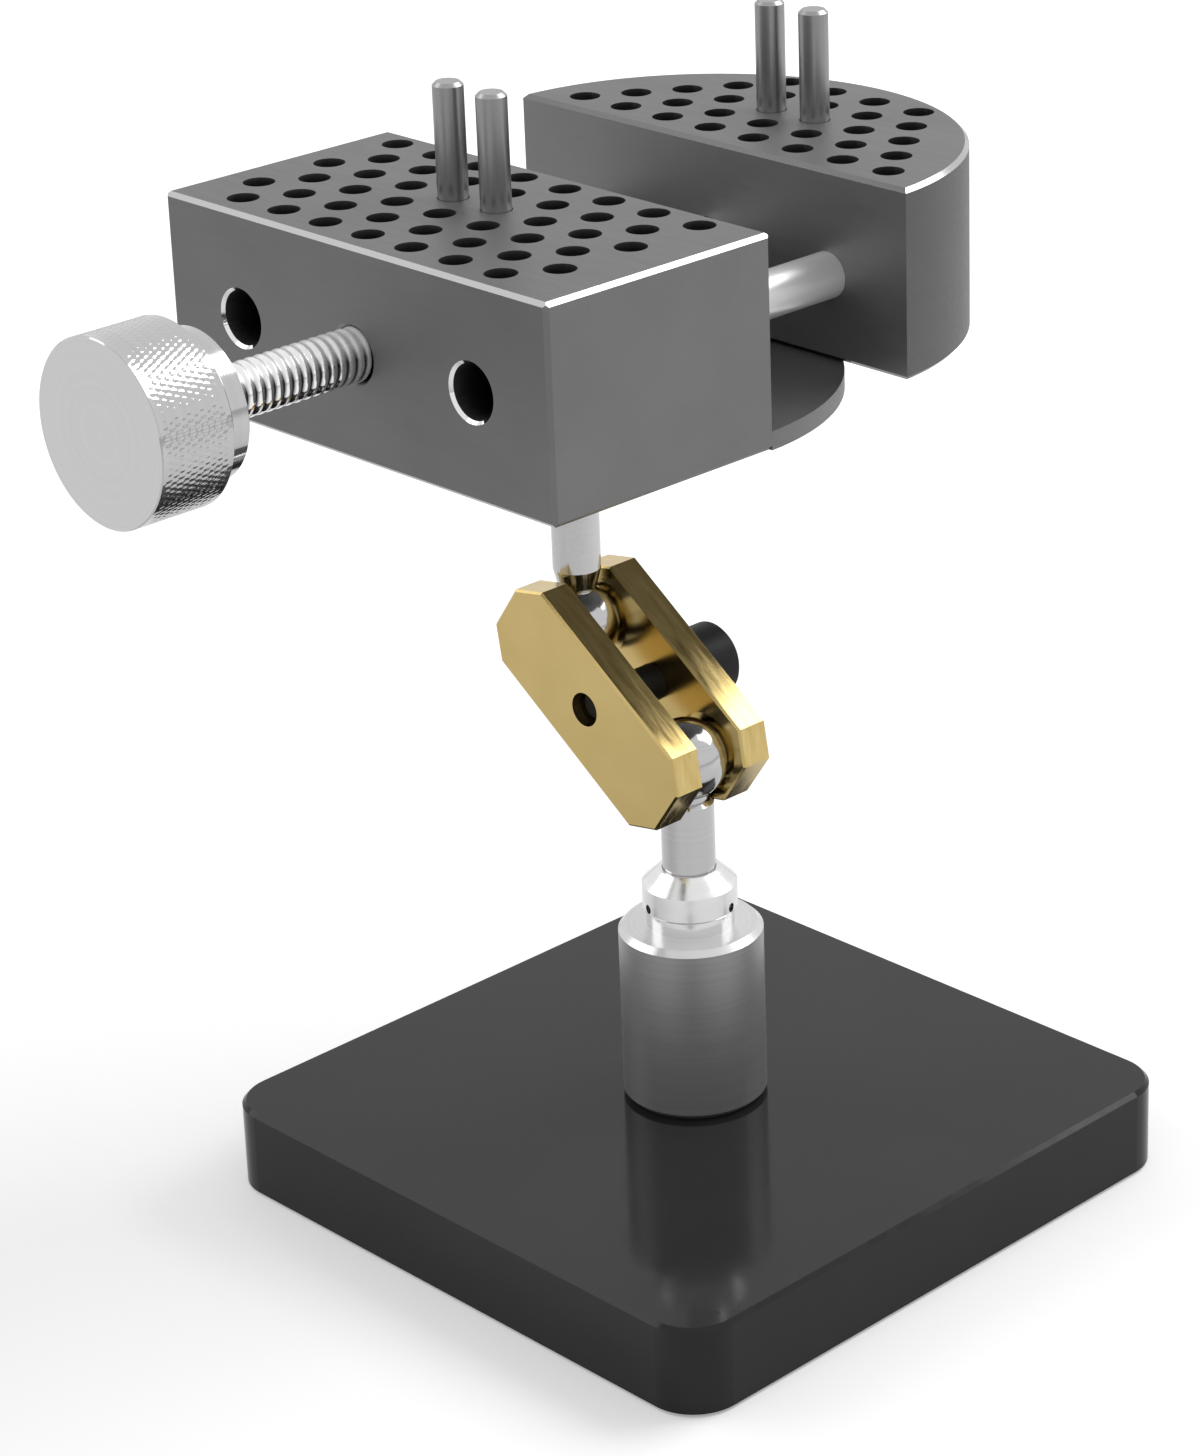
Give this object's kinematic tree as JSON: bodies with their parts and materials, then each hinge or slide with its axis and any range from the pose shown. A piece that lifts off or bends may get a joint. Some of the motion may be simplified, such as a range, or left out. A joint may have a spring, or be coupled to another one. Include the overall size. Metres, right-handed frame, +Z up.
{
  "type": "universal vise",
  "caption": "Small universal vise: screw-driven jaw head with a pin-hole grid on a double-ball brass arm, pillar and square base, for holding small work at any angle.",
  "frame": {"origin": "middle of the pad's underside, where the base rests on the table", "axes": "+Z up; +Y from the screw's knob towards the moving jaw; +X to the right of someone who looks along +Y"},
  "size_m": [0.0888, 0.1184, 0.1329],
  "materials": {
    "base_black": "gloss",
    "pad_rubber": "matt",
    "turned_steel": "fine turned, satin",
    "polished_steel": "polished",
    "black_steel": "satin black oxide",
    "zinc_steel": "dull zinc",
    "plate_brass": "ground, bright",
    "jaw_steel": "satin ground",
    "pin_steel": "bright drawn",
    "screw_chrome": "bright plated"
  },
  "bodies": {
    "stand": {"base_block": "base_black", "base_pad": "pad_rubber", "pillar": "turned_steel", "pillar_bolt": "black_steel", "bolt_washer": "zinc_steel", "spacer_ring": "polished_steel"},
    "collar": {"lock_collar": "polished_steel"},
    "lower_stud": {"lower_ball_stud": "polished_steel"},
    "arm": {"arm_plate_rear": "plate_brass"},
    "arm_fastener": {"arm_screw": "black_steel", "arm_washer": "black_steel", "arm_knob": "black_steel"},
    "front_plate": {"arm_plate_front": "plate_brass"},
    "upper_stud": {"upper_ball_stud": "polished_steel"},
    "head": {"vise_body": "jaw_steel"},
    "jaw": {"rear_jaw": "jaw_steel", "guide_rod_left": "pin_steel", "guide_rod_right": "pin_steel", "rod_grub_left": "black_steel", "rod_grub_right": "black_steel", "keeper_screw": "black_steel"},
    "drive": {"lead_screw": "screw_chrome", "lead_knob": "screw_chrome", "knob_grub": "black_steel"},
    "front_pin_a": {"pin_front_left": "pin_steel"},
    "front_pin_b": {"pin_front_right": "pin_steel"},
    "rear_pin_a": {"pin_rear_left": "pin_steel"},
    "rear_pin_b": {"pin_rear_right": "pin_steel"}
  },
  "joints": [
    {"name": "collar_turn", "type": "hinge", "parent": "stand", "child": "collar", "pos_m": [0, 0, 0.0385], "axis": [0, 0, 1], "continuous": true},
    {"name": "stand_swivel", "type": "hinge", "parent": "stand", "child": "lower_stud", "pos_m": [0, 0, 0.0385], "axis": [0, 0, 1], "continuous": true},
    {"name": "lower_fold", "type": "hinge", "parent": "lower_stud", "child": "arm", "pos_m": [0, 0, 0.0538], "axis": [0, 1, 0], "range_deg": [-45, 60]},
    {"name": "arm_screw_turn", "type": "hinge", "parent": "arm", "child": "arm_fastener", "pos_m": [-0.00865, 0, 0.05993], "axis": [0, 1, 0], "range_deg": [-5, 365]},
    {"name": "plate_release", "type": "slide", "parent": "arm", "child": "front_plate", "axis": [0, -1, 0], "range_m": [0, 0.0007]},
    {"name": "upper_fold", "type": "hinge", "parent": "arm", "child": "upper_stud", "pos_m": [-0.0173, 0, 0.06605], "axis": [0, 1, 0], "range_deg": [-55, 60]},
    {"name": "head_swivel", "type": "hinge", "parent": "upper_stud", "child": "head", "pos_m": [-0.0173, 0, 0.09475], "axis": [0, 0, 1], "continuous": true},
    {"name": "jaw_slide", "type": "slide", "parent": "head", "child": "jaw", "axis": [0, 1, 0], "range_m": [-0.0213, 0.0046]},
    {"name": "screw_turn", "type": "hinge", "parent": "jaw", "child": "drive", "pos_m": [-0.0173, 0, 0.10715], "axis": [0, 1, 0], "range_deg": [-6164.4, 1354.8]},
    {"name": "front_pin_a_lift", "type": "slide", "parent": "head", "child": "front_pin_a", "axis": [0, 0, 1], "range_m": [0, 0.012]},
    {"name": "front_pin_b_lift", "type": "slide", "parent": "head", "child": "front_pin_b", "axis": [0, 0, 1], "range_m": [0, 0.012]},
    {"name": "rear_pin_a_lift", "type": "slide", "parent": "jaw", "child": "rear_pin_a", "axis": [0, 0, 1], "range_m": [0, 0.012]},
    {"name": "rear_pin_b_lift", "type": "slide", "parent": "jaw", "child": "rear_pin_b", "axis": [0, 0, 1], "range_m": [0, 0.012]}
  ],
  "couplings": [
    {"joint": "arm_screw_turn", "follows": "plate_release", "rad_per_m": 8976},
    {"joint": "screw_turn", "follows": "jaw_slide", "rad_per_m": 5026.5}
  ]
}
